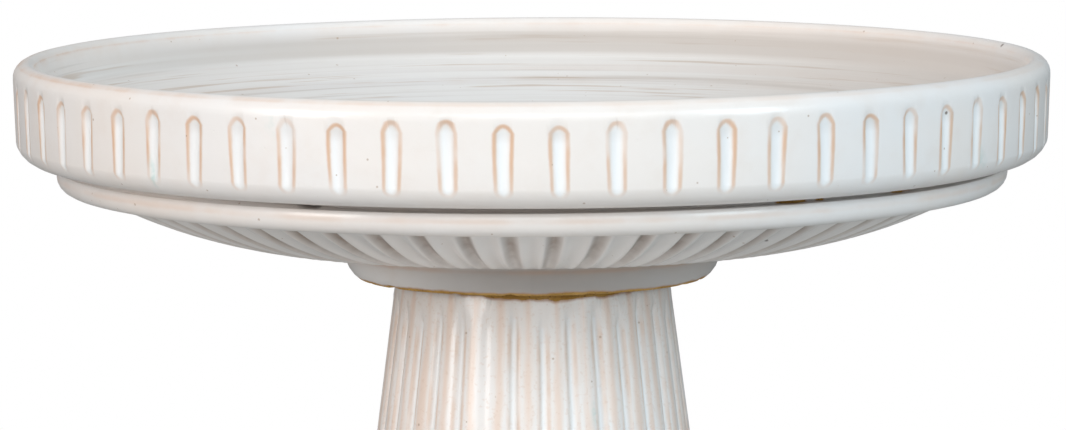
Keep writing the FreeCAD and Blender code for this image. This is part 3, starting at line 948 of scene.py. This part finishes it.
def glaze(name, on_bowl):
    """Off-white glaze over tan stoneware, thrown in the bowl or run down the column.

    It breaks to orange on edges, pools bluish white in grooves, and stops at bare clay.
    On the bowl it also carries painted shade and painted highlights.
    """
    material, maker, shader = new_material(name)
    place = maker.object_place()
    groove = maker.trait("groove_mm")
    colour = glaze_body(maker, place)
    pool = maker.ramp(groove, -2.9, -0.8, 1.0, 0.0)
    if on_bowl:
        under = maker.trait("under")
        colour, relief = wheel_marks_and_shade(maker, place, colour)
        pool = maker.times(pool, maker.math("SUBTRACT", 1.0, under))
        colour = maker.wash(colour, pool, 0.8, POOLED)
        colour = underside_tones(maker, place, groove, under, colour)
    else:
        colour, relief = stave_runs(maker, place, colour)
        colour = maker.wash(colour, pool, 0.8, POOLED)
    colour, worn, blush = broken_edges(maker, place, groove, colour)
    if on_bowl:
        # painted shade over the groove under the band, the scallops and the flute tops
        colour = maker.wash(colour, maker.trait("painted_shade"), 0.36, PAINTED_SHADE_BROWN)
    colour = iron_and_copper(maker, place, colour)

    # bare clay, with a toasted line where the glaze stops
    clay = maker.group("bare_clay", Place=place)
    ragged = maker.math("MULTIPLY_ADD", maker.noise(place, 130.0, 3.0), 3.0, -1.5)
    shore = maker.math("ADD", maker.trait("bare_mm"), ragged)
    naked = maker.ramp(shore, -0.3, 0.3)
    colour = maker.mix(maker.ramp(shore, -1.8, 0.0, 0.0, 0.75), colour, TOASTED_CLAY)
    maker.feed(maker.mix(naked, colour, clay["Color"]), shader["Base Color"])

    matt = maker.math("MULTIPLY_ADD", maker.noise(place, 90.0, 3.0), 0.12, 0.30)
    for mask, strength in ((worn, 0.12), (blush, 0.3), (naked, 0.65)):
        matt = maker.math("MULTIPLY_ADD", mask, strength, matt)
    maker.feed(matt, shader["Roughness"])
    cover = maker.math("SUBTRACT", 1.0, naked)
    maker.feed(maker.times(cover, 0.35), shader["Coat Weight"])
    shader["Coat Roughness"].default_value = 0.12
    shader["IOR"].default_value = 1.5

    skin = maker.times(maker.group("glaze_skin", Place=place)["Height"], cover)
    grain = maker.times(clay["Height"], naked, 0.5)
    level = maker.math("ADD", skin, maker.math("ADD", grain, relief))
    bump = maker.node("ShaderNodeBump", None, Strength=0.5, Distance=0.0006, Height=level)
    maker.feed(bump.outputs[0], shader["Normal"])
    return material


def seat_rubber():
    """Moulded black rubber, dusted grey, with a fine grain."""
    material, maker, shader = new_material("seat_rubber")
    place = maker.object_place()
    dust = maker.ramp(maker.noise(place, 60.0, 4.0), 0.45, 0.75)
    maker.feed(maker.wash(RUBBER_BLACK, dust, 0.5, RUBBER_DUST), shader["Base Color"])
    maker.feed(maker.math("MULTIPLY_ADD", dust, 0.2, 0.55), shader["Roughness"])
    bump = maker.node("ShaderNodeBump", None, Strength=0.4, Distance=0.0002,
                      Height=maker.noise(place, 1400.0, 2.0))
    maker.feed(bump.outputs[0], shader["Normal"])
    return material


def studio_white():
    """Matt pale floor, very slightly uneven."""
    material, maker, shader = new_material("studio_white")
    cloud = maker.noise(maker.object_place(), 3.0, 3.0)
    maker.feed(maker.mix(cloud, FLOOR_DARK, FLOOR_PALE), shader["Base Color"])
    shader["Roughness"].default_value = 0.85
    return material


# ------------------------------------------------------------------ studio

FLOOR_RINGS = np.array([0.0, 300.0, 800.0, 1500.0, 2200.0])
FLOOR_THICKNESS = 20.0
LIGHTS_AIM = (0, 0, 0.5)

# name, place in metres, width, height, power and colour
SOFTBOXES = (
    ("left_softbox", (-1.8, -1.6, 1.2), 0.75, 1.1, 26, (1.0, 0.96, 0.935)),
    ("right_softbox", (1.7, -1.7, 1.3), 0.75, 1.1, 23, (0.76, 0.91, 1.0)),
    ("front_softbox", (0.2, -3.4, 1.7), 3.0, 1.6, 40, (0.98, 0.99, 1.0)),
    ("top_softbox", (0.1, 0.2, 2.3), 1.8, 1.8, 5, (1.0, 0.99, 0.98)),
)
WARM_WALLS = (1.0, 0.965, 0.94, 1)
COOL_WALLS = (0.82, 0.93, 1.0, 1)


def softbox(name, place, width, height, power, colour):
    """A rectangular soft light at a place, turned to face the bath."""
    lamp = bpy.data.lights.new(name, "AREA")
    lamp.shape = "RECTANGLE"
    lamp.size, lamp.size_y = width, height
    lamp.energy, lamp.color = power, colour
    holder = bpy.data.objects.new(name, lamp)
    holder.location = place
    aim = Vector(LIGHTS_AIM) - Vector(place)
    holder.rotation_euler = aim.to_track_quat("-Z", "Y").to_euler()
    bpy.context.scene.collection.objects.link(holder)


def lay_floor(material):
    """A round slab: flat rings of points out along its top and back along its underside."""
    angle = np.arange(96) / 96 * TURN
    reach = np.concatenate([FLOOR_RINGS, FLOOR_RINGS[::-1]])[:, None] + 0 * angle
    level = np.repeat([0.0, -FLOOR_THICKNESS], len(FLOOR_RINGS))[:, None] + 0 * angle
    floor = turned_mesh("studio_floor", reach, level, angle, False, {})
    floor.data.materials.append(material)
    floor.data.flip_normals()


def light_walls():
    """Surroundings that look white, and light the bath warm from the left, cool from the right."""
    world = bpy.data.worlds.new("white_room")
    world.use_nodes = True
    world.node_tree.nodes.clear()
    maker = Maker(world.node_tree)
    seen = maker.node("ShaderNodeLightPath").outputs["Is Camera Ray"]
    heading = maker.apart(maker.node("ShaderNodeTexCoord").outputs["Generated"])
    tint = maker.mix(maker.ramp(heading[0], -0.6, 0.8), WARM_WALLS, COOL_WALLS)
    lit = maker.node("ShaderNodeBackground", None, Color=tint,
                     Strength=maker.ramp(heading[2], -0.15, 0.3, 0.25, 0.5))
    shown = maker.node("ShaderNodeBackground", None, Color=(1, 1, 1, 1), Strength=1.0)
    both = maker.node("ShaderNodeMixShader", None, n0=seen, n1=lit.outputs[0], n2=shown.outputs[0])
    output = maker.node("ShaderNodeOutputWorld")
    maker.feed(both.outputs[0], output.inputs[0])
    bpy.context.scene.world = world


CAMERA_DISTANCE = 3.021
CAMERA_TILT = math.radians(6.28)
CAMERA_ROLL = math.radians(0.3)
CAMERA_AIM = (0.4 * MM, 0, (RIM - 80.6) * MM)
LENS_LENGTH = 202.627         # millimetres, on a 36 mm wide frame


def make_camera():
    """A long lens in front of the bath, a little above the rim, held a touch off level."""
    forward = Vector((0, math.cos(CAMERA_TILT), -math.sin(CAMERA_TILT)))
    upright = Vector((0, math.sin(CAMERA_TILT), math.cos(CAMERA_TILT)))
    across = Vector((1, 0, 0))
    up = upright * math.cos(CAMERA_ROLL) + across * math.sin(CAMERA_ROLL)
    right = across * math.cos(CAMERA_ROLL) - upright * math.sin(CAMERA_ROLL)
    place = Vector(CAMERA_AIM) - forward * CAMERA_DISTANCE
    lens = bpy.data.cameras.new("studio_camera")
    lens.sensor_width = 36
    lens.lens = LENS_LENGTH
    camera = bpy.data.objects.new("studio_camera", lens)
    camera.matrix_world = Matrix((
        (right.x, up.x, -forward.x, place.x),
        (right.y, up.y, -forward.y, place.y),
        (right.z, up.z, -forward.z, place.z),
        (0, 0, 0, 1)))
    bpy.context.scene.collection.objects.link(camera)
    bpy.context.scene.camera = camera


# ------------------------------------------------------------------ put it together

for build in (specks_group, thin_glaze_group, throwing_group, clay_group, glaze_skin_group):
    build()

make_camera()
lay_floor(studio_white())
light_walls()
for box in SOFTBOXES:
    softbox(*box)

bowl_glaze = glaze("bowl_glaze", True)
column_glaze = glaze("column_glaze", False)
rubber = seat_rubber()

for piece, material, body, node, slot in (
        (make_bowl(), bowl_glaze, "bowl", "bowl", "white_glaze"),
        (make_column(), column_glaze, "pedestal", "pedestal", "white_glaze"),
        (make_ring(), rubber, "cushion_ring", "cushion_ring", "seat_rubber")):
    piece.data.materials.append(material)
    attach(piece, body)
    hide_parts(node)

scene = bpy.context.scene
scene.view_settings.view_transform = "Standard"
scene.view_settings.look = "None"
